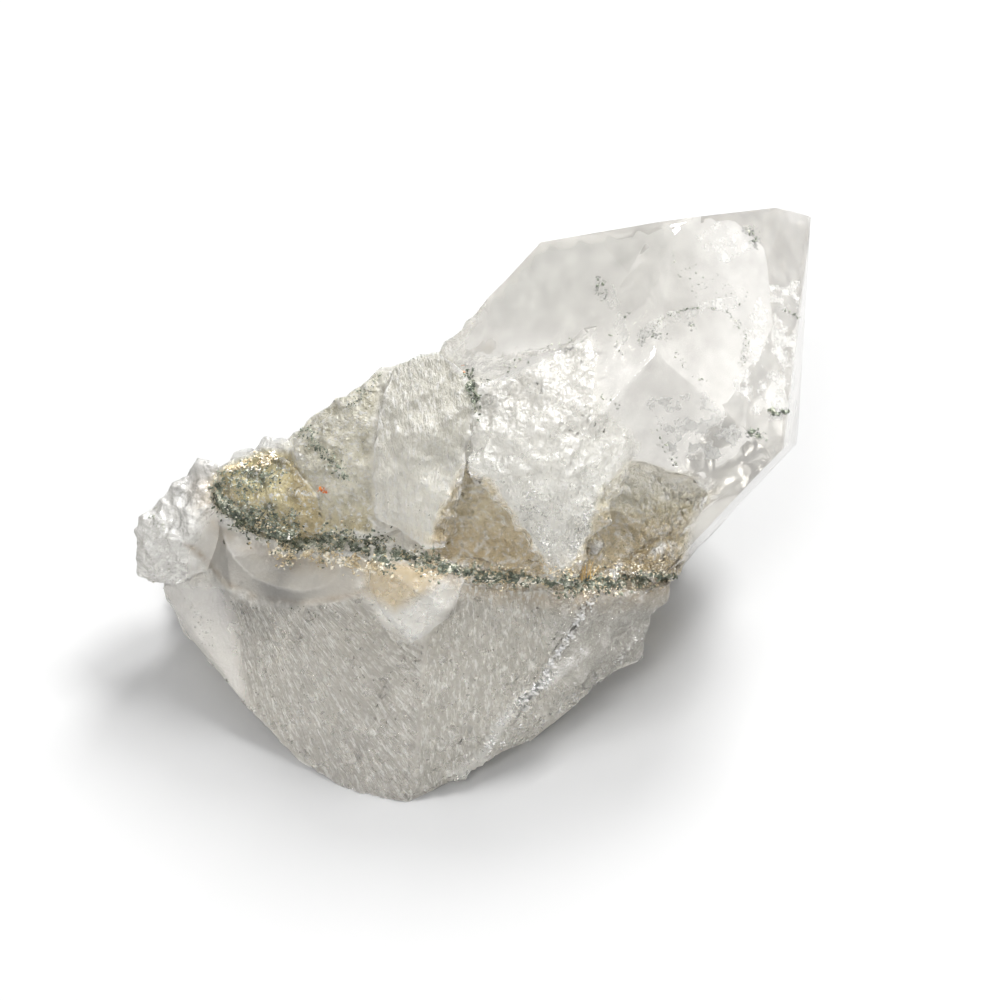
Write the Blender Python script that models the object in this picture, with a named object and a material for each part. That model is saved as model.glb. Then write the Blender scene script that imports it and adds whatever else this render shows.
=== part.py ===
"""A cluster of quartz crystals grown together, with a crust of chlorite in the seam between them.

One large clear point leans up to the right out of a broken base. In front of it lies a lower
crystal with an etched face. Small broken crystals stand out at the left.
The show side leans back from the surface that the cluster rests on, so all forms are placed in
the frame of that slope, in millimetres: across it to the right, up it, and out of it.
"""

import math

import bmesh
import bpy
from mathutils import Matrix, Vector, noise
from mathutils.bvhtree import BVHTree

MM = 0.001
SLOPE_ANGLE = math.radians(45)
SLOPE_HEIGHT = 16.0
STOCK = 400.0

FACE_TO_AXIS = math.radians(38.2)

POINT_TIP = (33.9, 32.2, 5.5)
POINT_AXIS = (0.676, 0.723, 0.139)
POINT_LENGTH = 42.0
POINT_PRISM = ((25, 17.0), (85, 16.4), (145, 15.0), (205, 14.0), (265, 17.8), (325, 16.6))
POINT_CAP = ((25, 0.3), (85, 0.0), (145, 0.6), (205, -5.0), (265, 0.0), (325, -9.0))

BACK_SIDE = (0.0, -0.2, -1.0)
UNEVEN_PRISM = (0.0, 0.12, -0.08, 0.05, -0.1, 0.08)

TRIANGLE_EDGE = 2.2
FINE_EDGE = 1.9
COARSE_EDGE = 2.6
RIDGE_SHARE = 0.5
RIDGE_STEEPNESS = 4.0
SWELL_SCALE = 0.4

BOWL_PLACE = (-26.0, -4.6, 15.2)
BOWL_RADIUS = 7.6
BOWL_STRETCH = 1.5
BOWL_LENGTHWISE = (0.86, -0.42, 0.28)

SEAM_PATH = (
    (-30.6, 0.3), (-28.4, -2.2), (-25.2, -4.0), (-21.9, -4.9), (-18.6, -4.5), (-15.7, -4.8),
    (-13.0, -5.5), (-10.8, -5.9), (-8.6, -6.4), (-6.4, -6.9), (-4.2, -7.4), (-2.2, -8.1),
    (0.6, -8.5), (3.2, -8.6), (5.7, -8.9), (8.0, -9.2), (10.4, -9.2), (12.8, -9.1),
    (15.4, -8.8), (18.0, -8.4),
)
SEAM_HALF_WIDTH = 0.85
SEAM_DEPTH = 1.2
SEAM_PROUD = 0.45
SEAM_GAP = 0.36
SEAM_SIDES = 6
SEAM_END_TAPER = 0.45
SEAM_SWELLS = ((0.3, 2.1), (0.15, 5.3))
SEAM_OUTWARD = (0.0, -0.35, 1.0)


def clear_scene():
    for old in list(bpy.data.objects):
        bpy.data.objects.remove(old, do_unlink=True)


def slope_direction(across, up, out):
    """A direction given in the frame of the slope, as a world direction."""
    sine, cosine = math.sin(SLOPE_ANGLE), math.cos(SLOPE_ANGLE)
    return Vector((across, up * sine - out * cosine, up * cosine + out * sine))


def on_slope(across, up, out):
    """A place given in the frame of the slope, in millimetres, as a world place in metres."""
    return slope_direction(across, up, out) * MM + Vector((0.0, 0.0, SLOPE_HEIGHT * MM))


def material(name, colour, roughness, transmission):
    made = bpy.data.materials.new(name)
    made.use_nodes = True
    shader = made.node_tree.nodes["Principled BSDF"]
    shader.inputs["Base Color"].default_value = (*colour, 1.0)
    shader.inputs["Roughness"].default_value = roughness
    shader.inputs["Metallic"].default_value = 0.0
    shader.inputs["Transmission Weight"].default_value = transmission
    return made


def add_object(name, bm):
    mesh = bpy.data.meshes.new(name)
    bm.normal_update()
    bm.to_mesh(mesh)
    bm.free()
    made = bpy.data.objects.new(name, mesh)
    bpy.context.scene.collection.objects.link(made)
    return made


def cut_away(bm, place, normal):
    """Cuts off what lies beyond a plane and closes the cut with one flat face."""
    whole = bm.verts[:] + bm.edges[:] + bm.faces[:]
    cut = bmesh.ops.bisect_plane(
        bm, geom=whole, dist=1e-7, plane_co=place, plane_no=normal, clear_outer=True
    )
    rim = [e for e in cut["geom_cut"] if isinstance(e, bmesh.types.BMEdge)]
    if rim:
        bmesh.ops.edgeloop_fill(bm, edges=rim)


def crystal(tip, axis, facing, prism, cap, length):
    """A quartz crystal: prism faces around its long axis and a cap of sloping faces at its tip.

    prism lists (angle, distance from the axis), cap lists (angle, how far down from the tip the
    face crosses the axis). Angles run round the axis from the facing direction.
    """
    axis = slope_direction(*axis).normalized()
    front = slope_direction(*facing)
    front = (front - axis * front.dot(axis)).normalized()
    side = axis.cross(front)
    tip_place = on_slope(*tip)

    def outward(angle):
        turn = math.radians(angle)
        return front * math.cos(turn) + side * math.sin(turn)

    bm = bmesh.new()
    bmesh.ops.create_cube(bm, size=STOCK * MM, matrix=Matrix.Translation(tip_place))
    for angle, distance in prism:
        cut_away(bm, tip_place + outward(angle) * distance * MM, outward(angle))
    for angle, setback in cap:
        normal = axis * math.sin(FACE_TO_AXIS) + outward(angle) * math.cos(FACE_TO_AXIS)
        cut_away(bm, tip_place - axis * setback * MM, normal)
    cut_away(bm, tip_place - axis * length * MM, -axis)
    return bm


def even_crystal(tip, axis, facing, radius, length):
    """A small crystal with its six prism faces at much the same distance, as most have."""
    prism = [(60 * i, radius * (1 + share)) for i, share in enumerate(UNEVEN_PRISM)]
    cap = [(60 * i, radius * (0.0, 0.45)[i % 2]) for i in range(6)]
    return crystal(tip, axis, facing, prism, cap, length)


def block(points):
    """The tight convex body around the given places on the slope."""
    bm = bmesh.new()
    for place in points:
        bm.verts.new(on_slope(*place))
    hull = bmesh.ops.convex_hull(bm, input=bm.verts[:], use_existing_faces=False)
    inside = [v for v in hull["geom_interior"] if isinstance(v, bmesh.types.BMVert)]
    bmesh.ops.delete(bm, geom=inside)
    bmesh.ops.recalc_face_normals(bm, faces=bm.faces[:])
    return bm


def everywhere(normal):
    return True


def show_side(normal):
    """True on faces that look out of the slope."""
    return normal.dot(slope_direction(0.0, 0.0, 1.0)) > 0.1


def broken_side(normal):
    """True on the sides of the lower crystal that are broken and not grown faces."""
    return normal.z > -0.9 and (normal.x > 0.45 or normal.y > 0.2)


def refine(bm, longest, wanted=everywhere):
    """Halves the longest edge of each wanted face until none is over the given millimetres."""
    bmesh.ops.triangulate(bm, faces=bm.faces[:])
    bm.normal_update()
    while True:
        halved = set()
        for f in bm.faces:
            edge = max(f.edges, key=lambda e: e.calc_length())
            if edge.calc_length() > longest * MM and wanted(f.normal):
                halved.add(edge)
        if not halved:
            return
        bmesh.ops.subdivide_edges(bm, edges=sorted(halved, key=lambda e: e.index), cuts=1)
        bmesh.ops.triangulate(bm, faces=bm.faces[:])
        bm.edges.index_update()
        bm.normal_update()


def chip(bm, lump, depth, seed, wanted=everywhere):
    """Breaks the wanted faces into the hollows and ridges of fractured quartz."""
    bm.normal_update()
    offset = Vector((seed * 7.31, seed * 3.17, seed * 5.73))
    moves = []
    for v in bm.verts:
        if not all(wanted(f.normal) for f in v.link_faces):
            continue
        place = v.co / (lump * MM) + offset
        ridge = 1.0 - abs(noise.noise(place)) * RIDGE_STEEPNESS
        swell = noise.noise(place * SWELL_SCALE)
        moves.append((v, v.normal * (ridge * RIDGE_SHARE + swell) * depth * MM))
    for v, move in moves:
        v.co += move


def broken(points, lump, depth, seed, edge=TRIANGLE_EDGE, wanted=everywhere):
    """A block with fractured faces."""
    bm = block(points)
    refine(bm, edge, wanted)
    chip(bm, lump, depth, seed, wanted)
    return bm


def lower_crystal():
    """The crystal that lies in front: two etched faces, a clear left face and a broken right."""
    bm = block(
        (
            (-10.2, -32.6, 10.0), (-16.7, -31.1, 8.5), (-21.8, -28.3, 5.7), (-27.7, -22.2, 4.7),
            (-7.3, -31.3, 8.7), (-29.0, -9.8, 7.4), (-37.2, -9.7, -0.6), (-34.8, -14.6, -2.6),
            (-30.4, 0.2, 7.6), (-18.1, -4.8, 12.5), (-10.6, -6.2, 15.5), (-7.4, -10.6, 16.0),
            (-2.1, -8.2, 16.4), (10.6, -9.3, 15.4), (6.4, -20.1, 12.0), (0.5, -25.5, 11.0),
            (15.1, -15.1, 6.5), (18.4, -8.5, 8.5), (-2.7, -29.0, 6.4), (1.1, -26.8, 4.2),
            (7.7, -22.4, 2.6), (15.3, -17.0, 2.9), (-24.0, -18.0, -4.6), (8.0, -17.0, -5.6),
            (-24.0, -5.7, -17.0), (-6.0, -1.5, -21.0), (11.0, -5.7, -17.0), (-34.0, -7.1, -6.0),
            (-25.0, 5.4, -4.0), (-4.0, 12.5, -6.0), (13.0, 7.0, -6.0),
        )
    )
    refine(bm, TRIANGLE_EDGE, broken_side)
    chip(bm, 4.2, 0.8, 1, broken_side)
    return bm


def main_point():
    """The large clear crystal, with a small chip out of its tip."""
    bm = crystal(POINT_TIP, POINT_AXIS, (0.0, 0.0, 1.0), POINT_PRISM, POINT_CAP, POINT_LENGTH)
    cut_away(bm, on_slope(32.2, 31.2, 5.5), slope_direction(0.27, 0.95, 0.12))
    return bm


def core():
    """The stained broken mass that shows in the hollows between the blocks."""
    points = (
        (-29.0, 1.0, 6.5), (-18.0, -4.0, 11.4), (-10.0, -6.0, 13.8), (-2.0, -7.6, 14.6),
        (10.0, -8.8, 13.6), (17.6, -7.6, 8.0), (20.0, 0.0, 6.0), (6.0, 8.0, 13.4),
        (-4.0, 13.0, 12.6), (-16.0, 11.0, 9.6), (-24.6, 5.6, 6.0), (-25.0, 4.6, -5.0),
        (-6.0, 12.5, -5.0), (12.0, 8.0, -5.0),
    )
    return broken(points, 3.6, 0.7, 2, TRIANGLE_EDGE, show_side)


def shoulder():
    """The greyish block at the upper left."""
    points = (
        (-22.4, 5.5, 11.6), (-20.4, 8.0, 11.4), (-17.7, 10.6, 12.2), (-12.3, 13.6, 13.0),
        (-6.7, 15.5, 14.2), (-19.1, -3.2, 13.4), (-13.6, -3.8, 15.2), (-8.0, -2.0, 15.6),
        (-7.0, 11.6, 16.2), (-12.0, 11.6, 15.6), (-14.4, 4.0, 16.2), (-20.2, 4.2, 13.6),
        (-22.6, 5.0, 3.0), (-8.0, 14.8, 4.0), (-19.0, -3.0, 6.0), (-9.0, -2.0, 6.0),
    )
    return broken(points, 3.0, 0.45, 3)


def middle_block():
    """The pale striated block that stands like a tooth over the seam."""
    points = (
        (-11.0, 14.7, 15.8), (-6.8, 15.6, 16.4), (-4.2, 13.2, 17.8), (-2.8, 10.3, 19.0),
        (-3.4, 5.3, 18.8), (-4.7, 0.4, 18.4), (-6.1, -4.6, 17.6), (-8.0, -4.9, 17.6),
        (-9.8, -3.8, 17.2), (-12.1, 11.1, 16.8), (-13.0, 7.4, 17.6), (-13.6, 2.1, 17.4),
        (-13.3, -1.9, 16.4), (-8.0, 7.0, 19.8), (-8.4, 0.0, 19.2), (-12.0, 10.0, 9.0),
        (-5.0, 12.0, 9.0), (-6.0, -3.4, 10.0), (-12.4, -1.4, 10.0),
    )
    return broken(points, 3.4, 0.4, 4)


def tongue():
    """The white fractured block that hangs down the front of the large crystal."""
    points = (
        (-1.6, 12.0, 17.6), (-3.1, 7.4, 18.6), (-3.4, 4.6, 18.6), (-0.2, 2.6, 19.8),
        (1.5, -0.2, 19.8), (2.8, -3.7, 19.0), (6.0, -8.4, 18.4), (7.4, -8.4, 18.4),
        (9.5, -3.2, 19.4), (10.8, 0.8, 19.6), (13.0, 4.5, 18.8), (16.0, 8.5, 17.0),
        (15.0, 14.0, 17.0), (9.4, 17.2, 16.8), (5.6, 16.2, 17.2), (2.0, 14.6, 17.4),
        (4.0, 7.0, 21.0), (8.0, 9.0, 21.0), (6.2, 0.0, 20.8), (0.0, 6.0, 8.0), (10.0, 8.0, 8.0),
        (6.0, -6.0, 10.0),
    )
    return broken(points, 3.8, 0.5, 5)


def dark_block():
    """The rounded block stained green and brown at the left end of the seam."""
    points = (
        (-30.5, 0.5, 8.4), (-30.0, 3.0, 8.6), (-26.6, 5.0, 10.2), (-22.5, 4.1, 12.4),
        (-19.3, 0.4, 14.0), (-18.3, -3.9, 13.6), (-23.8, -3.7, 12.0), (-28.2, -1.5, 10.0),
        (-24.6, 0.6, 13.4), (-27.0, 0.0, -2.0), (-20.0, 1.0, 3.0), (-24.0, 4.0, 0.0),
    )
    return broken(points, 2.6, 0.45, 6, FINE_EDGE)


def small_tooth():
    """The short pointed crystal under the seam, amber above and white below."""
    points = (
        (-13.9, -6.0, 15.8), (-5.4, -6.4, 17.6), (-3.7, -8.5, 17.8), (-4.8, -11.8, 17.2),
        (-9.4, -15.0, 15.4), (-12.3, -12.1, 15.4), (-13.9, -9.4, 15.4), (-8.8, -9.6, 18.4),
        (-12.0, -8.0, 10.0), (-6.0, -8.0, 10.0), (-9.0, -11.0, 10.0),
    )
    return broken(points, 2.4, 0.22, 7, FINE_EDGE)


def left_crystal():
    """The small clear crystal that juts out at the far left."""
    points = (
        (-40.2, -6.4, 3.4), (-38.6, -9.0, 1.4), (-33.0, -8.2, 5.4), (-39.0, -2.7, 5.2),
        (-37.5, -0.4, 5.8), (-35.2, 1.3, 6.6), (-32.6, 4.2, 6.8), (-30.1, 3.3, 7.8),
        (-33.0, -3.0, 9.2), (-38.0, -4.8, 6.4), (-37.0, -8.0, -3.0), (-26.0, 1.0, -3.0),
        (-26.0, -6.0, 2.0), (-35.0, 1.0, 0.0),
    )
    return broken(points, 3.0, 0.4, 8)


def upper_left_lumps():
    """The two small clear lumps behind the dark block."""
    first = (
        (-29.7, 3.2, 5.4), (-28.8, 5.1, 5.6), (-27.2, 5.8, 5.8), (-25.8, 5.4, 7.6),
        (-26.0, 2.0, 8.4), (-29.0, 1.0, -1.0), (-25.0, 2.0, 0.0), (-26.0, 5.0, 2.0),
    )
    second = (
        (-26.8, 5.5, 6.4), (-25.4, 6.7, 6.8), (-23.6, 6.6, 7.6), (-22.6, 5.9, 9.0),
        (-23.0, 3.0, 10.0), (-26.0, 3.0, 1.0), (-22.0, 4.0, 2.0), (-24.0, 6.0, 2.0),
    )
    return broken(first, 2.4, 0.2, 9, FINE_EDGE), broken(second, 2.4, 0.2, 10, FINE_EDGE)


def back_mass():
    """The broken rock at the back, out of which the large crystal grows."""
    points = (
        (-24.0, -5.7, -17.0), (-6.0, -2.2, -20.2), (12.0, -5.7, -17.0), (16.0, 1.0, -12.0),
        (-26.0, 3.0, -8.0), (-20.0, 7.5, -3.0), (-4.0, 14.0, -4.0), (9.0, 14.0, -8.0),
        (14.0, 12.0, -4.0), (0.0, 9.0, -14.0), (-14.0, 5.0, -15.0), (-20.0, -2.0, 4.0),
        (10.0, -4.0, 4.0),
    )
    return broken(points, 5.0, 0.9, 11, COARSE_EDGE, broken_side)


def back_crystals():
    """Small points at the back, grown out of the broken rock and lying close to the surface."""
    return (
        even_crystal((-22.0, 5.1, -21.8), (-0.35, 0.643, -0.672), BACK_SIDE, 4.2, 17.0),
        even_crystal((-10.0, 14.1, -21.2), (-0.1, 0.933, -0.339), BACK_SIDE, 5.4, 20.0),
        even_crystal((3.0, 10.9, -25.8), (0.25, 0.615, -0.728), BACK_SIDE, 4.4, 20.0),
        even_crystal((23.0, 1.1, -17.3), (0.75, 0.424, -0.453), BACK_SIDE, 4.2, 18.0),
        even_crystal((-37.0, -4.8, -11.9), (-0.85, 0.283, -0.354), BACK_SIDE, 3.8, 14.0),
    )


def stained_hollow():
    """The hollow to the right of the tongue, broken into the foot of the large crystal."""
    points = (
        (14.6, 5.6, 26.0), (21.0, 4.2, 24.0), (25.0, 0.0, 20.0), (20.0, -7.0, 22.0),
        (8.0, -9.0, 26.0), (6.0, 0.0, 26.0), (14.8, 4.0, 12.8), (20.0, 1.0, 9.6),
        (18.6, -4.0, 8.8), (11.0, -7.4, 12.4), (9.0, -2.0, 12.6),
    )
    return broken(points, 3.4, 0.6, 12)


def bowl_notch():
    """A smooth shell-shaped break at the left of the lower crystal, cut by a stretched ball."""
    bm = bmesh.new()
    bmesh.ops.create_icosphere(bm, subdivisions=3, radius=BOWL_RADIUS * MM)
    along = slope_direction(*BOWL_LENGTHWISE).to_track_quat("X", "Z").to_matrix().to_4x4()
    size = Matrix.Diagonal((BOWL_STRETCH, 1.0, 1.0, 1.0))
    move = Matrix.Translation(on_slope(*BOWL_PLACE))
    bmesh.ops.transform(bm, matrix=move @ along @ size, verts=bm.verts)
    return bm


def below_the_surface():
    """Everything under the surface that the cluster rests on."""
    bm = bmesh.new()
    middle = Matrix.Translation((0.0, 0.0, -STOCK * MM / 2))
    bmesh.ops.create_cube(bm, size=STOCK * MM, matrix=middle)
    return bm


def add_boolean(target, bm, name, operation):
    """Joins a shape to the target or cuts it out, and keeps the shape as a hidden guide."""
    guide = add_object(name, bm)
    guide.hide_render = True
    guide.display_type = "WIRE"
    step = target.modifiers.new(name, "BOOLEAN")
    step.operation = operation
    step.solver = "EXACT"
    step.object = guide


def seam_line(quartz):
    """The middle line of the crust: the path of the seam, laid onto the quartz and eased."""
    tree = BVHTree.FromObject(quartz, bpy.context.evaluated_depsgraph_get())
    into = slope_direction(0.0, 0.0, -1.0)
    line = []
    for across, up in SEAM_PATH:
        line.append(tree.ray_cast(on_slope(across, up, STOCK / 2), into)[0])
    eased = [line[0]]
    for before, here, after in zip(line, line[1:], line[2:]):
        eased.append(before * 0.25 + here * 0.5 + after * 0.25)
    eased.append(line[-1])
    return eased


def seam_body(line, gap):
    """A flat band along the line, sunk in the quartz and standing a little proud of it."""
    out = slope_direction(*SEAM_OUTWARD).normalized()
    bm = bmesh.new()
    rings = []
    last = len(line) - 1
    for i, place in enumerate(line):
        run = (line[min(i + 1, last)] - line[max(i - 1, 0)]).normalized()
        across = out.cross(run).normalized()
        rise = run.cross(across)
        swell = 1.0 + sum(height * math.sin(i * pace) for height, pace in SEAM_SWELLS)
        taper = SEAM_END_TAPER if i in (0, last) else 1.0
        half_width = SEAM_HALF_WIDTH * swell * taper + gap
        push = 0.0
        if i == 0:
            push = -gap
        elif i == last:
            push = gap
        centre = place + run * push * MM
        ring = []
        for k in range(SEAM_SIDES):
            turn = math.tau * (k + 0.5) / SEAM_SIDES
            height = math.sin(turn)
            reach = SEAM_PROUD + gap if height > 0 else SEAM_DEPTH + gap
            spot = centre + (across * math.cos(turn) * half_width + rise * height * reach) * MM
            ring.append(bm.verts.new(spot))
        rings.append(ring)
    for ring, following in zip(rings, rings[1:]):
        for k in range(SEAM_SIDES):
            after = (k + 1) % SEAM_SIDES
            bm.faces.new((ring[k], ring[after], following[after], following[k]))
    bm.faces.new(rings[0])
    bm.faces.new(rings[-1])
    bmesh.ops.recalc_face_normals(bm, faces=bm.faces[:])
    return bm


def stand_on_origin(objects):
    """Moves everything so that the origin is under the middle of the whole, on the surface."""
    graph = bpy.context.evaluated_depsgraph_get()
    corners = []
    for shown in objects:
        mesh = shown.evaluated_get(graph).data
        corners += [shown.matrix_world @ v.co for v in mesh.vertices]
    middle = [(min(c[k] for c in corners) + max(c[k] for c in corners)) / 2 for k in range(2)]
    lowest = min(c.z for c in corners)
    for made in bpy.data.objects:
        made.location -= Vector((*middle, lowest))


def build():
    clear_scene()
    quartz = add_object("quartz_crystals", lower_crystal())
    quartz.data.materials.append(material("quartz", (0.82, 0.80, 0.78), 0.08, 0.9))
    add_boolean(quartz, bowl_notch(), "bowl_notch", "DIFFERENCE")
    add_boolean(quartz, back_mass(), "back_mass", "UNION")
    add_boolean(quartz, core(), "core", "UNION")
    add_boolean(quartz, main_point(), "main_point", "UNION")
    add_boolean(quartz, stained_hollow(), "stained_hollow", "DIFFERENCE")
    for name, shape in (
        ("shoulder", shoulder()),
        ("middle_block", middle_block()),
        ("tongue", tongue()),
        ("dark_block", dark_block()),
        ("small_tooth", small_tooth()),
        ("left_crystal", left_crystal()),
    ):
        add_boolean(quartz, shape, name, "UNION")
    for i, shape in enumerate(upper_left_lumps() + back_crystals()):
        add_boolean(quartz, shape, f"small_crystal_{i}", "UNION")
    add_boolean(quartz, below_the_surface(), "rest_cut", "DIFFERENCE")

    line = seam_line(quartz)
    add_boolean(quartz, seam_body(line, SEAM_GAP), "seam_groove", "DIFFERENCE")
    seam = add_object("chlorite_seam", seam_body(line, 0.0))
    seam.data.materials.append(material("chlorite", (0.11, 0.14, 0.10), 0.8, 0.0))
    bpy.context.view_layer.update()
    stand_on_origin((quartz, seam))


build()
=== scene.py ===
"""A hand specimen of quartz: crystals grown together, with a chlorite crust in the seam."""

import math
import random

import bmesh
import bpy
import numpy as np
from mathutils import Matrix, Vector, noise
from mathutils.bvhtree import BVHTree


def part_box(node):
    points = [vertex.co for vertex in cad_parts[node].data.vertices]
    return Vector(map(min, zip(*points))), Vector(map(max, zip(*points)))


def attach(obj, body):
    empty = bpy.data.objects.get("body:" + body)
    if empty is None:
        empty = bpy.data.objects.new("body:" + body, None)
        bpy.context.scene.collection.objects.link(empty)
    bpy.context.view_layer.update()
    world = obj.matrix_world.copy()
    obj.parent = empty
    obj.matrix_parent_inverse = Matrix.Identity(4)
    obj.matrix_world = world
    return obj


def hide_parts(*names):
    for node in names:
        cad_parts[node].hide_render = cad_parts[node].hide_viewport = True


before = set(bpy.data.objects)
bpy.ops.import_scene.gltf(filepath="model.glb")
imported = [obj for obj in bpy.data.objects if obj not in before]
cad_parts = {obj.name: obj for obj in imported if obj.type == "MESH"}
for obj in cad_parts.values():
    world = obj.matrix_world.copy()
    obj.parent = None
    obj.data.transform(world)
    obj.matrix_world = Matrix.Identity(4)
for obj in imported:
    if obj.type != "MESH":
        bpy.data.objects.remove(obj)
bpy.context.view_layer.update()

# The quartz. All the crystals grew together and are one body of clear silica. Faces that grew
# freely are bright, the lower crystal's two faces are etched to a sugary frost, and the rest is
# fractured in shells and splinters. Water with iron in it has stained the hollows by the seam.
MM = 0.001
EYE_HEIGHT = 458.0
SLOPE = Matrix.Rotation(math.radians(45), 3, "X")
quartz_low, quartz_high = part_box("quartz_crystals")
SLOPE_FOOT = Vector((quartz_high.x - 33.776 * MM, quartz_low.y + 30.12 * MM, 16.0 * MM))


def on_slope(across, up, out):
    """A place given in millimetres on the show slope, as a place in the frame."""
    return SLOPE_FOOT + SLOPE @ Vector((across, up, out)) * MM


def slope_places(places):
    """Places in the frame as millimetres across, up and out of the show slope."""
    return (places - np.array(SLOPE_FOOT)) @ np.array(SLOPE) / MM


def seen_places(local):
    """Where the places show across and up the slope, from the front."""
    return local[:, :2] / (1 - local[:, 2:] / EYE_HEIGHT)


def inside(seen, outline, soft=0.8):
    """1 for the places well inside the outline, 0 well outside, and a soft step between."""
    corners = np.array(outline, float)
    nearest = np.full(len(seen), 1e9)
    crossings = np.zeros(len(seen), int)
    for start, end in zip(corners, np.roll(corners, -1, axis=0)):
        run = end - start
        share = np.clip((seen - start) @ run / (run @ run), 0, 1)
        nearest = np.minimum(nearest, np.linalg.norm(seen - start - share[:, None] * run, axis=1))
        level = (start[1] > seen[:, 1]) != (end[1] > seen[:, 1])
        side = start[0] + (seen[:, 1] - start[1]) * run[0] / (run[1] if run[1] else 1e-9)
        crossings += level & (seen[:, 0] < side)
    return np.clip(0.5 + np.where(crossings % 2 == 1, nearest, -nearest) / soft, 0, 1)


def near_line(seen, line, reach):
    """1 on the line, falling to 0 at the given reach from it."""
    nearest = np.full(len(seen), 1e9)
    for start, end in zip(line, line[1:]):
        start, run = np.array(start, float), np.array(end, float) - np.array(start, float)
        share = np.clip((seen - start) @ run / (run @ run), 0, 1)
        nearest = np.minimum(nearest, np.linalg.norm(seen - start - share[:, None] * run, axis=1))
    return np.clip(1 - nearest / reach, 0, 1)


def lumps(places, size, seed, octaves=3):
    """Soft uneven lumps of the given size, about -1 to 1."""
    shift = Vector((seed * 5.17, seed * 2.39, seed * 7.71))
    return np.array([noise.fractal(Vector(p) / size + shift, 1.0, 2.1, octaves) for p in places])


def shells(places, size, seed):
    """The bowls of shell-like fracture, with ridges between them: 0 in a bowl, 1 on a ridge."""
    shift = Vector((seed * 3.31, seed * 6.13, seed * 1.97))
    return np.array([noise.voronoi(Vector(p) / size + shift)[0][0] for p in places]) ** 2


def splinters(places, size, seed):
    """Flat slanting breaks that meet in sharp edges: 0 in a hollow, about 1 on an edge."""
    shift = Vector((seed * 2.71, seed * 4.19, seed * 8.23))
    turn = Matrix.Rotation(seed * 1.3, 3, Vector((0.3, 0.8, 0.5)))
    return np.array([
        noise.voronoi(turn @ Vector(p) / size + shift, distance_metric="MANHATTAN")[0][0]
        for p in places
    ])


OUTLINES = {
    "lower left face": ((-30.4, -9.9), (-27.4, -11.3), (-22.0, -12.0), (-15.4, -10.4),
                        (-13.0, -13.4), (-8.2, -16.0), (-9.6, -33.6), (-18.0, -32.4),
                        (-28.2, -22.6)),
    "lower right face": ((-8.4, -15.6), (-4.2, -10.2), (-3.0, -7.9), (5.0, -9.4), (5.2, -15.4),
                         (6.2, -19.6), (12.0, -21.4), (0.2, -29.4), (-9.6, -33.8)),
    "lower broken right": ((5.3, -9.4), (20.0, -8.0), (19.0, -12.4), (16.5, -16.4),
                           (11.0, -20.9), (6.2, -19.8), (5.0, -15.4)),
    "left facet": ((-39.0, -9.6), (-30.6, -9.4), (-29.4, -12.0), (-27.8, -22.6), (-34.0, -18.0)),
    "bowl": ((-32.0, -1.6), (-28.6, -4.4), (-22.0, -6.4), (-14.0, -7.2), (-16.8, -10.8),
             (-22.0, -11.5), (-26.4, -10.9), (-30.0, -9.6), (-34.0, -5.0)),
    "tongue": ((-2.2, 11.5), (9.9, 17.8), (10.8, 11.0), (14.7, 6.6), (11.2, 1.1), (9.9, -3.9),
               (6.6, -9.0), (5.0, -7.2), (1.7, -2.2), (-1.1, 2.2), (-4.0, 3.8), (-3.4, 8.8)),
    "middle block": ((-13.9, -2.2), (-7.6, -5.2), (-6.6, -1.1), (-3.9, 4.4), (-2.4, 12.7),
                     (-6.6, 16.6), (-11.2, 15.5), (-13.3, 12.7), (-14.2, 6.6)),
    "shoulder": ((-12.6, 15.0), (-18.9, 11.6), (-24.0, 6.4), (-20.6, 1.1), (-18.7, -4.4),
                 (-13.8, -3.3), (-14.2, 6.6), (-13.3, 12.7)),
    "dark block": ((-32.0, 0.0), (-31.6, 2.6), (-29.2, 3.9), (-26.2, 5.5), (-23.1, 5.0),
                   (-20.6, 1.1), (-18.7, -4.4), (-24.2, -5.0), (-28.6, -2.8)),
    "first hollow": ((-3.9, 3.9), (-1.1, 2.2), (1.7, -2.2), (5.0, -7.2), (4.0, -8.8),
                     (-2.2, -8.1), (-7.7, -7.0), (-7.6, -5.0), (-6.6, -1.1)),
    "second hollow": ((14.5, 4.2), (22.4, 2.0), (23.0, 0.0), (21.2, -1.7), (19.4, -8.4),
                      (6.6, -9.4), (9.9, -3.9), (11.0, 1.1)),
    "small tooth": ((-15.6, -6.6), (-3.4, -7.6), (-4.0, -10.1), (-9.6, -15.9), (-13.0, -13.4),
                    (-15.6, -9.9)),
    "left crystal": ((-42.0, -9.8), (-42.0, 1.0), (-37.0, 5.0), (-31.6, 5.0), (-30.3, 2.2),
                     (-31.6, -1.6), (-34.0, -5.6), (-34.4, -9.4)),
    "upper lumps": ((-30.8, 3.3), (-29.0, 7.4), (-22.4, 7.4), (-23.4, 5.6), (-26.2, 5.4),
                    (-29.2, 3.7)),
}
SEAM_SEEN = (
    (-31.4, 0.6), (-28.6, -2.2), (-22.0, -5.0), (-18.7, -4.4), (-13.2, -5.5), (-11.0, -6.1),
    (-6.6, -7.2), (-2.2, -8.3), (3.3, -8.8), (8.3, -9.4), (13.2, -9.1), (19.3, -8.3),
)
FACE_SIZE = {
    "lower left face": 0.42, "lower right face": 0.42, "lower broken right": 0.46,
    "left facet": 0.8, "bowl": 0.5, "tongue": 0.44, "middle block": 0.46, "shoulder": 0.46,
    "dark block": 0.42, "first hollow": 0.46, "second hollow": 0.46, "small tooth": 0.36,
    "left crystal": 0.46, "upper lumps": 0.55,
}
CREASE_SEEN = ((10.6, -10.0), (8.0, -14.3), (5.9, -17.6), (2.2, -23.5), (-0.6, -27.0))
RIDGE_SEEN = ((9.2, -16.6), (5.2, -19.9), (2.6, -21.7), (0.2, -24.3), (-1.6, -27.6))
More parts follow.
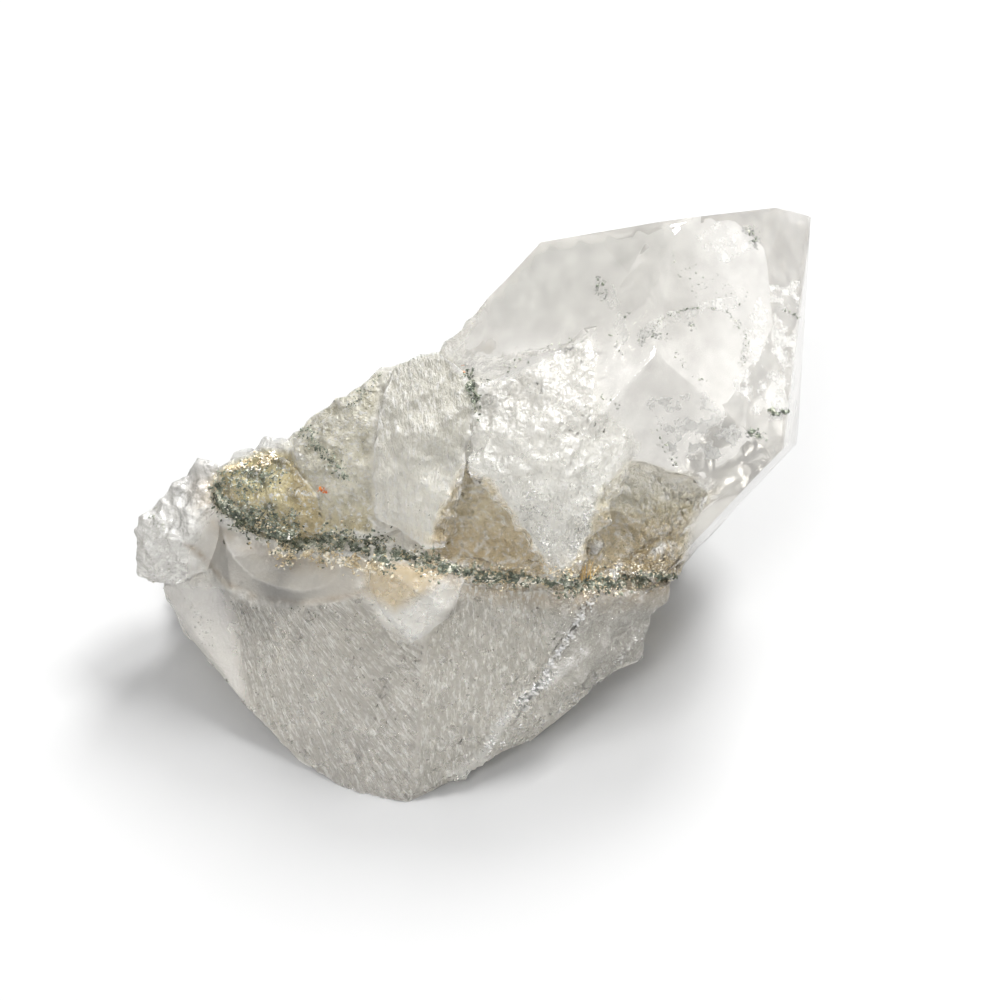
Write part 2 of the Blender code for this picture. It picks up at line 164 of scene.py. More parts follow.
BOWL_EDGE_SEEN = (
    (-34.4, -4.6), (-32.6, -6.4), (-30.0, -9.2), (-26.6, -10.7), (-22.2, -11.3), (-17.2, -10.7),
    (-14.0, -9.6),
)
POINT_OUTLINE = (
    (-6.0, 14.0), (3.0, 29.0), (36.0, 36.0), (36.0, 4.0), (26.0, -3.0), (20.0, -8.0),
    (14.0, 3.0), (10.0, 12.0),
)
AMBER_OUTLINE = ((-15.2, -6.6), (-5.4, -7.4), (-8.4, -10.4), (-11.6, -12.2), (-14.6, -10.4))
RUSTY_OUTLINE = ((9.9, -1.1), (20.9, -2.2), (19.3, -8.6), (7.2, -9.0))
WHITE_STREAK = ((-16.8, -11.8), (-18.6, -17.0), (-20.4, -24.0))
CLEAR_FACE_SIZE = 2.4
BACK_FACE_SIZE = 1.25
HALVINGS = 10


def select_only(piece):
    bpy.ops.object.select_all(action="DESELECT")
    piece.select_set(True)
    bpy.context.view_layer.objects.active = piece


def mesh_places(mesh):
    places = np.empty(len(mesh.vertices) * 3)
    mesh.vertices.foreach_get("co", places)
    return places.reshape(-1, 3)


def mesh_normals(mesh):
    normals = np.empty(len(mesh.vertices) * 3, np.float32)
    mesh.vertex_normals.foreach_get("vector", normals)
    return normals.reshape(-1, 3).astype(float)


def edge_ends(mesh):
    ends = np.empty(len(mesh.edges) * 2, np.int32)
    mesh.edges.foreach_get("vertices", ends)
    return ends.reshape(-1, 2)


def neighbour_means(ends, places):
    """For each vertex, the middle of the vertices that its edges lead to."""
    total, count = np.zeros_like(places), np.zeros(len(places))
    for here, there in ((0, 1), (1, 0)):
        np.add.at(total, ends[:, here], places[ends[:, there]])
        np.add.at(count, ends[:, here], 1.0)
    return total / count[:, None]


def zone_weights(mesh):
    """How much each vertex belongs to each zone, the clear point and the back among them."""
    local = slope_places(mesh_places(mesh))
    facing = mesh_normals(mesh) @ np.array(SLOPE)
    seen = seen_places(local)
    front = np.clip(facing[:, 2] * 6 + 1.2, 0, 1)
    weights = {name: inside(seen, outline) * front for name, outline in OUTLINES.items()}
    crowded = np.maximum(sum(weights.values()), 1.0)
    weights = {name: share / crowded for name, share in weights.items()}
    left = 1 - sum(weights.values())
    point = inside(seen, POINT_OUTLINE, 1.0)
    high = np.clip((local[:, 1] + local[:, 0] * 0.45 + 2.0) / 12.0, 0, 1)
    high = np.where(facing[:, 2] > 0, np.clip(high * 1.6, 0, 1), high)
    weights["point"] = left * point * high
    weights["back"] = left * (1 - point * high)
    return weights


def halve_long_edges(piece):
    """Halves the longest edge of each face over and over, down to the size of its own zone."""
    mesh = piece.data
    bpy.context.tool_settings.mesh_select_mode = (False, True, False)
    for _ in range(HALVINGS):
        weights = zone_weights(mesh)
        allowed = weights["point"] * CLEAR_FACE_SIZE + weights["back"] * BACK_FACE_SIZE
        for name, size in FACE_SIZE.items():
            allowed = allowed + weights[name] * size
        places = mesh_places(mesh) / MM
        ends = edge_ends(mesh)
        lengths = np.linalg.norm(places[ends[:, 0]] - places[ends[:, 1]], axis=1)
        around = np.empty(len(mesh.loops), np.int32)
        mesh.loops.foreach_get("edge_index", around)
        around = around.reshape(-1, 3)
        corners = np.empty(len(mesh.loops), np.int32)
        mesh.loops.foreach_get("vertex_index", corners)
        limit = allowed[corners.reshape(-1, 3)].mean(axis=1)
        longest = around[np.arange(len(around)), lengths[around].argmax(axis=1)]
        chosen = np.zeros(len(mesh.edges), bool)
        chosen[longest[lengths[longest] > limit]] = True
        mesh.vertices.foreach_set("select", np.zeros(len(mesh.vertices), bool))
        mesh.polygons.foreach_set("select", np.zeros(len(mesh.polygons), bool))
        mesh.edges.foreach_set("select", chosen)
        bpy.ops.object.mode_set(mode="EDIT")
        bpy.ops.mesh.subdivide(number_cuts=1)
        bpy.ops.mesh.select_all(action="SELECT")
        bpy.ops.mesh.quads_convert_to_tris()
        bpy.ops.object.mode_set(mode="OBJECT")


quartz = bpy.data.objects.new("quartz_body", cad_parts["quartz_crystals"].data.copy())
bpy.context.scene.collection.objects.link(quartz)
select_only(quartz)
bpy.ops.object.mode_set(mode="EDIT")
bpy.ops.mesh.select_all(action="SELECT")
bpy.ops.mesh.remove_doubles(threshold=1e-6)
bpy.ops.mesh.dissolve_limited(angle_limit=math.radians(0.4))
bpy.ops.mesh.quads_convert_to_tris(quad_method="BEAUTY", ngon_method="BEAUTY")
bpy.ops.object.mode_set(mode="OBJECT")
halve_long_edges(quartz)

weights = zone_weights(quartz.data)
places = mesh_places(quartz.data)
normals = mesh_normals(quartz.data)
local = slope_places(places)
seen = seen_places(local)

# how the faces broke: shells and splinters, in millimetres out of each face
crumble = sum(weights[name] * depth for name, depth in (
    ("tongue", 0.6), ("middle block", 0.4), ("shoulder", 0.6), ("dark block", 0.6),
    ("first hollow", 0.95), ("second hollow", 0.95), ("small tooth", 0.2),
    ("left crystal", 0.85), ("upper lumps", 0.3), ("lower broken right", 0.5), ("back", 0.5),
))
coarse = splinters(local, 3.0, 1)
middling = splinters(local, 1.5, 9)
fine = shells(local, 0.9, 2)
rise = crumble * (1.2 * coarse + 0.6 * middling + 0.2 * fine - 1.25)
crease = near_line(seen, CREASE_SEEN, 2.2) * (1 - weights["back"])
ragged_ridge = near_line(seen, RIDGE_SEEN + ((-5.0, -30.6),), 1.1) * (1 - weights["back"])

# the etched faces: narrow ridges that fan out from the upper left, and run down on the right
FAN_CENTRE = (-34.0, 4.0)
turn = np.arctan2(seen[:, 1] - FAN_CENTRE[1], seen[:, 0] - FAN_CENTRE[0])
distance = np.hypot(seen[:, 1] - FAN_CENTRE[1], seen[:, 0] - FAN_CENTRE[0])
fan = np.stack((turn * 60.0, distance * 0.35, local[:, 2]), axis=1)
falls = np.stack((seen[:, 0] * 1.4, seen[:, 1] * 0.45, local[:, 2] * 0.6), axis=1)
rise += weights["lower left face"] * (0.22 * lumps(fan, 0.7, 4) + 0.22 * lumps(local, 3.0, 5))
rise += weights["lower right face"] * (0.22 * lumps(falls, 0.75, 6) + 0.22 * lumps(local, 2.4, 7))
rise += weights["middle block"] * 0.2 * lumps(falls * (1.0, 0.4, 1.0), 0.8, 8)
rise = rise * (1 - crease) + ragged_ridge * 0.4 * (1 + lumps(local, 0.9, 10))

# the crease beside the broken ridge is filled nearly to the surface on both sides of it
OUTWARD = np.array(SLOPE)[:, 2]
filled = np.flatnonzero((crease > 0.02) & (normals @ OUTWARD > -0.2))
apart = np.linalg.norm(seen[filled][:, None] - seen[filled][None], axis=2)
nearby = np.exp(-apart ** 2 / 2)
level = nearby @ local[filled, 2] / nearby.sum(axis=1)
lift = np.zeros(len(places))
lift[filled] = np.maximum(level + 0.15 - local[filled, 2], 0)
lift *= np.clip(crease * 2.2, 0, 1)
places = places + OUTWARD * lift[:, None] * MM
ends = edge_ends(quartz.data)
for _ in range(14):
    softened = np.clip(crease * 1.5, 0, 0.7)[:, None]
    places = places + (neighbour_means(ends, places) - places) * softened

# the face that it rests on stays flat, and nothing goes under the table
resting = (normals[:, 2] < -0.7) & (places[:, 2] < 0.4 * MM)
rise[resting] = 0.0
places = places + normals * rise[:, None] * MM
places[:, 2] = np.maximum(places[:, 2], 0.0)
quartz.data.vertices.foreach_set("co", places.ravel())
quartz.data.update()
select_only(quartz)
bpy.ops.object.shade_smooth_by_angle(angle=math.radians(24))

# colour, frost and grain of each zone
LOOKS = {
    "point": ((0.80, 0.79, 0.765), 0.05, 0.0),
    "back": ((0.80, 0.78, 0.73), 0.40, 0.6),
    # the lower crystal's two faces are frosted quartz, tinted darker grey partly as painted shade,
    # since they face down and away from the lamps
    "lower left face": ((0.515, 0.49, 0.455), 0.30, 1.0),
    "lower right face": ((0.515, 0.495, 0.455), 0.30, 1.0),
    "lower broken right": ((0.49, 0.48, 0.445), 0.16, 0.7),
    "left facet": ((0.93, 0.91, 0.89), 0.22, 0.4),
    "bowl": ((0.585, 0.56, 0.52), 0.36, 0.12),
    "tongue": ((0.995, 0.99, 0.94), 0.30, 0.35),
    "middle block": ((0.99, 0.97, 0.88), 0.34, 0.8),
    "shoulder": ((0.93, 0.89, 0.73), 0.34, 0.9),
    "dark block": ((0.88, 0.76, 0.38), 0.4, 1.0),
    "first hollow": ((0.84, 0.70, 0.44), 0.20, 0.7),
    "second hollow": ((0.86, 0.78, 0.54), 0.20, 0.7),
    "small tooth": ((0.99, 0.99, 0.97), 0.26, 0.3),
    "left crystal": ((0.99, 0.99, 0.97), 0.18, 0.3),
    "upper lumps": ((0.99, 0.99, 0.97), 0.22, 0.3),
}
tint = sum(weights[name][:, None] * np.array(look[0]) for name, look in LOOKS.items())
frost = sum(weights[name] * look[1] for name, look in LOOKS.items())
grain = sum(weights[name] * look[2] for name, look in LOOKS.items())


def stain(colour, amount):
    """Tints the quartz towards a colour by the given amount at each vertex."""
    amount = np.clip(amount, 0, 1)[:, None]
    tint[:] = tint * (1 - amount) + np.array(colour) * amount


front = 1 - weights["back"]
patchy = 0.5 + 0.5 * lumps(local, 1.6, 11)
near_seam = near_line(seen, SEAM_SEEN, 3.6) * front
stain((0.56, 0.38, 0.16), near_seam * 0.75 * np.clip(patchy * 1.8, 0, 1))
stain((0.10, 0.095, 0.05),
      weights["dark block"] * np.clip(lumps(local, 2.0, 13) * 2.2 + 0.1, 0, 0.85))
stain((0.55, 0.40, 0.15), weights["dark block"] * np.clip((seen[:, 0] + 25.0) / 4.0, 0, 0.7))
stain((0.62, 0.51, 0.22), weights["shoulder"] * np.clip((1.0 - seen[:, 1]) / 5.0, 0, 0.8))
stain((0.48, 0.44, 0.28), weights["shoulder"] * np.clip(lumps(local, 1.8, 14) * 2.0, 0, 0.6))
stain((0.95, 0.88, 0.72), weights["middle block"] * np.clip((-2.6 - seen[:, 1]) / 3.0, 0, 0.6))
stain((0.36, 0.29, 0.12), weights["second hollow"] * np.clip(lumps(local, 2.4, 15) * 1.8, 0, 0.7))
stain((0.36, 0.27, 0.12), weights["first hollow"] * np.clip(lumps(local, 1.6, 16) * 1.8, 0, 0.7))
stain((0.62, 0.44, 0.18), inside(seen, AMBER_OUTLINE, 1.2) * 0.75)
stain((0.58, 0.40, 0.17), inside(seen, RUSTY_OUTLINE, 2.5) * 0.6 * weights["second hollow"])
stain((0.60, 0.43, 0.20), np.clip((-1.0 - seen[:, 1]) / 5.0, 0, 0.7) * weights["first hollow"])

stain((0.57, 0.56, 0.53), weights["point"] * np.clip((seen[:, 1] - 14.0) / 5.0, 0, 1)
      * np.clip((25.0 - seen[:, 0]) / 6.0, 0, 0.85))

stain((0.71, 0.695, 0.65), weights["tongue"] * np.clip((seen[:, 1] - 3.0) / 9.0, 0, 0.9))
stain((0.63, 0.61, 0.52), weights["middle block"] * np.clip((seen[:, 1] - 3.0) / 9.0, 0, 0.8))
stain((0.96, 0.94, 0.86), weights["second hollow"] * np.clip((seen[:, 1] + 1.0) / 4.0, 0, 0.6))

stain((0.70, 0.68, 0.63), weights["lower left face"] * 0.5 * near_line(seen, WHITE_STREAK, 3.2)
      * np.clip(patchy * 1.6, 0, 1))

# edges that stand out are crushed white, and the hollow ones are darkened with painted shade
shaped = mesh_places(quartz.data) / MM
steps = np.linalg.norm(shaped[ends[:, 0]] - shaped[ends[:, 1]], axis=1)
reach = np.bincount(ends.ravel(), weights=np.repeat(steps, 2)) / np.bincount(ends.ravel())
standing = ((shaped - neighbour_means(ends, shaped)) * mesh_normals(quartz.data)).sum(axis=1)
standing = standing / reach
rough_zone = np.clip(grain * 2.5, 0, 1)
stain((0.99, 0.985, 0.96),
      (standing - 0.10) * 3.2 * rough_zone * (1 - 0.65 * weights["dark block"]))
etched = weights["lower left face"] + weights["lower right face"]
white_zone = sum(weights[name] for name in (
    "tongue", "small tooth", "left crystal", "upper lumps"))
# painted shade: the places that sink below their neighbours are darkened brown-grey
stain((0.40, 0.35, 0.27), (-standing - 0.14) * 1.1 * rough_zone * (1 - weights["back"])
      * (1 - 0.8 * white_zone) * (1 - ragged_ridge) * (1 - 0.5 * etched))
stain((0.99, 0.985, 0.965), (ragged_ridge - 0.3) * 1.8)
stain((0.30, 0.21, 0.12),
      near_line(seen, BOWL_EDGE_SEEN, 0.5) * (0.5 + 0.6 * lumps(local, 1.5, 12)))
grain = np.clip(grain + weights["tongue"] * np.clip((6.0 - seen[:, 1]) / 10.0, 0, 0.6), 0, 1)

# the way that growth lines run, in millimetres across and along them; no etch where they meet
names = list(weights)
shares = np.stack([weights[name] for name in names])
main_zone = shares.argmax(axis=0)
flow = local.copy()
for name, lines in (("lower left face", fan), ("lower right face", falls),
                    ("middle block", falls), ("tongue", falls * (0.8, 1.2, 1.0))):
    here = main_zone == names.index(name)
    flow[here] = lines[here]
grain = grain * np.clip((shares.max(axis=0) - 0.55) / 0.3, 0.05, 1)
layer = quartz.data.attributes.new("flow", "FLOAT_VECTOR", "POINT")
layer.data.foreach_set("vector", flow.ravel())
broken = crumble * 1.1 * (1 - 0.5 * weights["back"] - 0.6 * weights["middle block"]
                          - 0.3 * weights["left crystal"] - 0.25 * weights["tongue"])
for name, data in (("frost", frost), ("grain", grain), ("broken", broken)):
    layer = quartz.data.attributes.new(name, "FLOAT", "POINT")
    layer.data.foreach_set("value", data)
layer = quartz.data.attributes.new("tint", "FLOAT_COLOR", "POINT")
layer.data.foreach_set("color", np.concatenate((tint, np.ones((len(tint), 1))), axis=1).ravel())


def new_material(name):
    made = bpy.data.materials.new(name)
    made.use_nodes = True
    return made, made.node_tree.nodes, made.node_tree.links


def read_attribute(name):
    """A node that reads one of the mesh's own attributes."""
    node = nodes.new("ShaderNodeAttribute")
    node.attribute_name = name
    return node


def blotches(vector, scale, detail, roughness=0.5):
    """Noise of the given scale. Returns its value."""
    node = nodes.new("ShaderNodeTexNoise")
    node.inputs["Scale"].default_value = scale
    node.inputs["Detail"].default_value = detail
    node.inputs["Roughness"].default_value = roughness
    links.new(vector, node.inputs["Vector"])
    return node.outputs["Fac"]


def mapped(value, source, target):
    """A value mapped from one range to another, and kept inside it."""
    node = nodes.new("ShaderNodeMapRange")
    for name, number in zip(("From Min", "From Max", "To Min", "To Max"), source + target):
        node.inputs[name].default_value = number
    links.new(value, node.inputs["Value"])
    return node.outputs["Result"]


def product(value, factor):
    node = nodes.new("ShaderNodeMath")
    node.operation = "MULTIPLY"
    links.new(value, node.inputs[0])
    links.new(factor, node.inputs[1])
    return node.outputs["Value"]


glass, nodes, links = new_material("quartz")
shader = nodes["Principled BSDF"]
shader.inputs["IOR"].default_value = 1.544
shader.inputs["Transmission Weight"].default_value = 0.76
in_place = nodes.new("ShaderNodeTexCoord").outputs["Object"]
grain_read = read_attribute("grain").outputs["Fac"]
flow_read = read_attribute("flow").outputs["Vector"]

# the tint, with clouds in it and white flecks along the growth lines
clouded = nodes.new("ShaderNodeVectorMath")
clouded.operation = "SCALE"
links.new(read_attribute("tint").outputs["Color"], clouded.inputs[0])
links.new(mapped(blotches(in_place, 420.0, 3.0), (0.3, 0.7), (0.84, 1.08)),
          clouded.inputs["Scale"])
flecks = mapped(blotches(flow_read, 1.9, 3.0, 0.7), (0.53, 0.63), (0.0, 0.95))
whitened = nodes.new("ShaderNodeMix")
whitened.data_type = "RGBA"
whitened.inputs["B"].default_value = (0.98, 0.975, 0.95, 1.0)
links.new(product(flecks, grain_read), whitened.inputs["Factor"])
links.new(clouded.outputs["Vector"], whitened.inputs["A"])
links.new(whitened.outputs["Result"], shader.inputs["Base Color"])

# the frost, uneven from wear
unevenness = mapped(blotches(in_place, 900.0, 2.0), (0.0, 1.0), (0.55, 1.45))
links.new(product(read_attribute("frost").outputs["Fac"], unevenness), shader.inputs["Roughness"])

# the etched pits, and the chips of the broken parts
etch = nodes.new("ShaderNodeBump")
etch.inputs["Distance"].default_value = 0.85 * MM
links.new(grain_read, etch.inputs["Strength"])
links.new(blotches(flow_read, 2.2, 3.0, 0.65), etch.inputs["Height"])
chips = nodes.new("ShaderNodeTexVoronoi")
chips.distance = "MANHATTAN"
chips.inputs["Scale"].default_value = 800.0
chips.inputs["Detail"].default_value = 1.0
chips.inputs["Randomness"].default_value = 1.0
links.new(in_place, chips.inputs["Vector"])
facets = nodes.new("ShaderNodeBump")
facets.inputs["Distance"].default_value = 0.55 * MM
links.new(read_attribute("broken").outputs["Fac"], facets.inputs["Strength"])
links.new(chips.outputs["Distance"], facets.inputs["Height"])
links.new(etch.outputs["Normal"], facets.inputs["Normal"])
links.new(facets.outputs["Normal"], shader.inputs["Normal"])

veil = nodes.new("ShaderNodeVolumeAbsorption")
veil.inputs["Color"].default_value = (0.90, 0.87, 0.80, 1.0)
veil.inputs["Density"].default_value = 14.0
links.new(veil.outputs["Volume"], nodes["Material Output"].inputs["Volume"])

quartz.data.materials.clear()
quartz.data.materials.append(glass)
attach(quartz, "root")
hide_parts("quartz_crystals")

# The chlorite: thousands of dark green grains, loosely crusted in the seam where the lower
# crystal meets the rest. Each grain is a stubby plate-like crystal a third of a millimetre wide.
surface = BVHTree.FromObject(quartz, bpy.context.evaluated_depsgraph_get())
random.seed(7)
EYE = on_slope(0.0, 0.0, EYE_HEIGHT)


def front_hit(across, up):
    """Where the line of sight through a place on the slope meets the quartz, and its normal."""
    target = on_slope(across, up, 0.0)
    place, normal, index, distance = surface.ray_cast(EYE, (target - EYE).normalized())
    return place, normal


bpy.ops.object.select_all(action="DESELECT")
bpy.ops.mesh.primitive_ico_sphere_add(subdivisions=1, radius=1.0)
grain_shape = bpy.context.object
bpy.ops.object.mode_set(mode="EDIT")
bpy.ops.transform.resize(value=(1.0, 0.8, 0.55))
bpy.ops.transform.vertex_random(offset=0.22, seed=3)
bpy.ops.object.mode_set(mode="OBJECT")
GRAIN_POINTS = mesh_places(grain_shape.data)
GRAIN_FACES = np.array([f.vertices[:] for f in grain_shape.data.polygons])
bpy.data.objects.remove(grain_shape)


def grains(name, spots):
    """One piece out of many grains. Each spot is (place, size in millimetres, stretch)."""
    points, faces = [], []
    for i, (place, size, stretch) in enumerate(spots):
        turn = Matrix.Rotation(random.uniform(0, 6.28), 3, Vector(
            (random.gauss(0, 1), random.gauss(0, 1), random.gauss(0, 1))))
        shaped = GRAIN_POINTS * (size * stretch * MM, size * MM, size * MM)
        points.append(shaped @ np.array(turn) + np.array(place))
        faces.append(GRAIN_FACES + i * len(GRAIN_POINTS))
    mesh = bpy.data.meshes.new(name)
    mesh.from_pydata(np.concatenate(points), [], np.concatenate(faces))
    made = bpy.data.objects.new(name, mesh)
    bpy.context.scene.collection.objects.link(made)
    return made


def scattered(line, count, spread, size):
    """Places of grains that lie on the quartz about a line, clumped and not evenly."""
    runs = list(zip(line, line[1:]))
    lengths = [math.dist(a, b) for a, b in runs]
    spots = []
    for _ in range(count):
        (start, end), = random.choices(runs, lengths)
        share = random.random()
        across = start[0] + (end[0] - start[0]) * share + random.gauss(0, 0.25)
        up = start[1] + (end[1] - start[1]) * share
        clump = noise.noise(Vector((across * 0.55, up * 0.9, spread)))
        wide = spread * (1.0 + 1.1 * clump)
        up += random.gauss(0, wide) + 0.5 * spread * noise.noise(Vector((across * 0.7, 9.0, 0.0)))
        if noise.noise(Vector((across * 1.1, up * 1.1, 4.0))) < -0.28:
            continue
        place, normal = front_hit(across, up)
        if place is None:
            continue
        place += normal * random.uniform(-0.12, 0.16) * MM
        spots.append((place, size * random.uniform(0.45, 1.3), random.uniform(0.8, 1.7)))
    return spots


crust = grains("chlorite_crust", scattered(SEAM_SEEN, 3600, 0.42, 0.18)
               + scattered(SEAM_SEEN[:6], 1500, 0.85, 0.17))


def mottled(first, last, scale, detail=2.0, between=None):
    """Colours the shader from one (place, colour) to another by noise of the given scale."""
    in_place = nodes.new("ShaderNodeTexCoord").outputs["Object"]
    ramp = nodes.new("ShaderNodeValToRGB")
    for stop, (at, colour) in zip(ramp.color_ramp.elements, (first, last)):
        stop.position = at
        stop.color = (*colour, 1.0)
    if between:
        ramp.color_ramp.elements.new(between[0]).color = (*between[1], 1.0)
    links.new(blotches(in_place, scale, detail), ramp.inputs["Fac"])
    links.new(ramp.outputs["Color"], shader.inputs["Base Color"])


chlorite, nodes, links = new_material("chlorite")
shader = nodes["Principled BSDF"]
shader.inputs["Roughness"].default_value = 0.62
mottled((0.35, (0.035, 0.042, 0.032)), (0.72, (0.52, 0.52, 0.43)), 1500.0, 3.0,
        between=(0.52, (0.125, 0.145, 0.105)))
crust.data.materials.append(chlorite)
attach(crust, "root")
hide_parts("chlorite_seam")

# Loose chlorite: single grains and patches that stuck to the quartz as it grew, in the nooks
# between the blocks, over the stained block at the left and along the foot of the large point.
def along(rows):
    """The places of grains for rows of (line, count, spread, size)."""
    return [spot for row in rows for spot in scattered(*row)]


loose = grains("chlorite_specks", along((
    (((-1.7, 12.7), (2.2, 15.6), (9.9, 18.2)), 80, 0.22, 0.11),
    (((-3.6, 13.6), (-2.4, 10.4)), 240, 0.75, 0.15),
    (((-22.0, 8.0), (-16.8, 2.4)), 260, 0.55, 0.13),
    (((-12.6, 14.6), (-17.0, 9.6)), 70, 0.35, 0.11),
    (((-31.0, 1.6), (-24.0, 3.2)), 420, 0.9, 0.15),
    (((-29.0, -1.2), (-22.0, -2.6)), 420, 0.9, 0.15),
    (((-23.0, -11.6), (-19.6, -12.8)), 16, 0.25, 0.1),
    (((17.0, 7.7), (19.8, 3.3)), 34, 0.4, 0.11),
    (((-38.5, -1.6), (-36.6, -3.3)), 40, 0.5, 0.1),
    (((11.0, 11.4), (13.0, 10.6)), 16, 0.3, 0.12),
    (((8.0, -3.0), (20.0, -4.5)), 60, 1.6, 0.1),
)))
loose.data.materials.append(chlorite)
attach(loose, "root")

# Stained crumbs: broken quartz the colour of straw and amber, cemented in with the chlorite on
# both sides of the seam, most of all under its left half.
straw = grains("stained_crumbs", along((
    (SEAM_SEEN, 1500, 0.75, 0.15),
    (((-25.0, -5.6), (-19.0, -6.2), (-13.0, -7.6)), 900, 0.55, 0.17),
    (((-30.0, 3.4), (-24.4, 4.8)), 260, 0.4, 0.18),
    (((4.0, -8.0), (19.0, -7.4)), 300, 0.7, 0.14),
)))
stained, nodes, links = new_material("stained crumbs")
shader = nodes["Principled BSDF"]
shader.inputs["Roughness"].default_value = 0.35
shader.inputs["IOR"].default_value = 1.544
mottled((0.30, (0.26, 0.20, 0.11)), (0.68, (0.85, 0.83, 0.76)), 1100.0,
        between=(0.48, (0.50, 0.42, 0.28)))
straw.data.materials.append(stained)
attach(straw, "root")

# White shards: splinters of crushed quartz that cling along the broken ridge of the lower
# crystal, on the white block's foot and on the small crystals at the left.
splintered = grains("white_shards", along((
    (RIDGE_SEEN, 300, 0.3, 0.14),
    (((9.8, -11.2), (8.0, -14.3), (5.9, -17.6), (2.4, -23.2)), 230, 0.16, 0.26),
    (((15.8, -15.0), (9.0, -21.0), (0.0, -27.0)), 240, 0.5, 0.17),
    (((3.0, 0.6), (5.4, -6.4)), 200, 1.3, 0.13),
    (((10.0, 0.0), (8.6, -4.0), (7.6, -7.6)), 120, 0.9, 0.14),
    (((-38.6, -8.6), (-34.4, -7.6)), 60, 0.5, 0.15),
    (((-34.2, -11.2), (-31.6, -15.4)), 60, 0.6, 0.15),
    (((-4.2, 4.0), (-2.4, 3.0)), 50, 0.5, 0.14),
)))
crushed, nodes, links = new_material("crushed quartz")
shader = nodes["Principled BSDF"]
shader.inputs["Roughness"].default_value = 0.15
shader.inputs["IOR"].default_value = 1.544
shader.inputs["Transmission Weight"].default_value = 0.6
mottled((0.3, (0.66, 0.64, 0.58)), (0.6, (0.97, 0.965, 0.95)), 900.0)
splintered.data.materials.append(crushed)
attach(splintered, "root")

# The rust: a few crumbs of red iron oxide on the shoulder and at the foot of the point, and
# golden needles of rutile that lean out of the stained hollow.
rust = grains("rust_crumbs", along((
    (((-19.9, 1.4), (-19.1, 0.8)), 26, 0.28, 0.15),
    (((-4.3, 14.2), (-4.0, 13.9)), 8, 0.2, 0.12),
)))
rusty, nodes, links = new_material("iron oxide")
shader = nodes["Principled BSDF"]
shader.inputs["Roughness"].default_value = 0.7
mottled((0.35, (0.34, 0.07, 0.015)), (0.70, (0.66, 0.24, 0.05)), 1800.0)
rust.data.materials.append(rusty)
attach(rust, "root")

needles = []
for i in range(9):
    foot, normal = front_hit(9.2 + random.gauss(0, 0.8), -8.4 + random.gauss(0, 0.3))
    lean = (SLOPE @ Vector((random.gauss(0.25, 0.3), 1.0, random.uniform(0.2, 0.7)))).normalized()
    length = random.uniform(1.2, 2.6) * MM
    bpy.ops.object.select_all(action="DESELECT")
    bpy.ops.mesh.primitive_cone_add(vertices=5, radius1=0.07 * MM, radius2=0.03 * MM,
                                    depth=length, location=foot + lean * length * 0.4,
                                    rotation=lean.to_track_quat("Z", "Y").to_euler())
    needles.append(bpy.context.object)
bpy.ops.object.select_all(action="DESELECT")
for needle in needles:
    needle.select_set(True)
bpy.context.view_layer.objects.active = needles[0]
bpy.ops.object.join()
bpy.ops.object.transform_apply(location=True, rotation=True, scale=True)
rutile = bpy.context.object
rutile.name = "rutile_needles"
gold, nodes, links = new_material("rutile")
shader = nodes["Principled BSDF"]
shader.inputs["Roughness"].default_value = 0.3
mottled((0.0, (0.42, 0.24, 0.06)), (1.0, (0.80, 0.58, 0.24)), 900.0)
rutile.data.materials.append(gold)
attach(rutile, "root")

# Dark inclusions in the large point: grains of chlorite that it grew over, in short trails under
# its faces and along the edge of the curved break in its middle.
CURVED_BREAK = ((14.7, 16.5), (16.3, 18.4), (18.2, 20.2), (20.9, 21.1), (23.2, 21.1),
                (25.5, 20.4), (27.1, 17.6), (26.6, 14.5))
trails = []
for line, count, spread, size, depth in (
    (((10.6, 23.6), (11.6, 22.6)), 50, 0.4, 0.17, 0.5),
    (((13.8, 20.6), (14.2, 20.2)), 10, 0.15, 0.17, 0.4),
    (((27.0, 29.8), (28.4, 27.8)), 120, 0.4, 0.16, 0.6),
    (((18.6, 26.0), (23.0, 23.4), (27.0, 22.4)), 90, 0.7, 0.1, 0.5),
    (((17.6, 18.7), (20.1, 14.8), (23.1, 12.3)), 80, 0.1, 0.09, 0.3),
    (((31.4, 20.9), (33.2, 20.0)), 24, 0.1, 0.12, 0.3),
    (((29.6, 9.7), (31.4, 9.7)), 34, 0.15, 0.28, 0.3),
    (((27.0, 7.6), (28.8, 7.0)), 60, 0.25, 0.18, 0.3),
    (CURVED_BREAK, 420, 0.05, 0.08, 0.25),
    (((16.6, 18.4), (17.4, 18.0)), 26, 0.25, 0.14, 0.5),
    (((20.6, 19.4), (21.2, 19.0)), 20, 0.25, 0.13, 0.5),
    (((12.0, 18.5), (13.6, 16.0)), 24, 0.3, 0.09, 0.4),
    (((5.0, 15.8), (9.0, 17.4)), 30, 0.3, 0.1, 0.3),
):
    for place, grain_size, stretch in scattered(line, count, spread, size):
        sight = (place - EYE).normalized()
        trails.append((place + sight * random.uniform(0.1, 1.0) * depth * MM, grain_size, stretch))
inclusions = grains("dark_inclusions", trails)
inclusions.data.materials.append(chlorite)
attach(inclusions, "root")

# Healed fractures in the large point: thin wavy sheets of trapped bubbles, which look like
# white veils, and the shell-shaped break in its middle.
veil_white, nodes, links = new_material("healed fracture")
shader = nodes["Principled BSDF"]
shader.inputs["Base Color"].default_value = (0.96, 0.96, 0.94, 1.0)
shader.inputs["Roughness"].default_value = 0.5
in_place = nodes.new("ShaderNodeTexCoord").outputs["Object"]
bubbles = mapped(blotches(in_place, 620.0, 6.0, 0.62), (0.48, 0.60), (0.0, 0.95))
links.new(bubbles, shader.inputs["Alpha"])

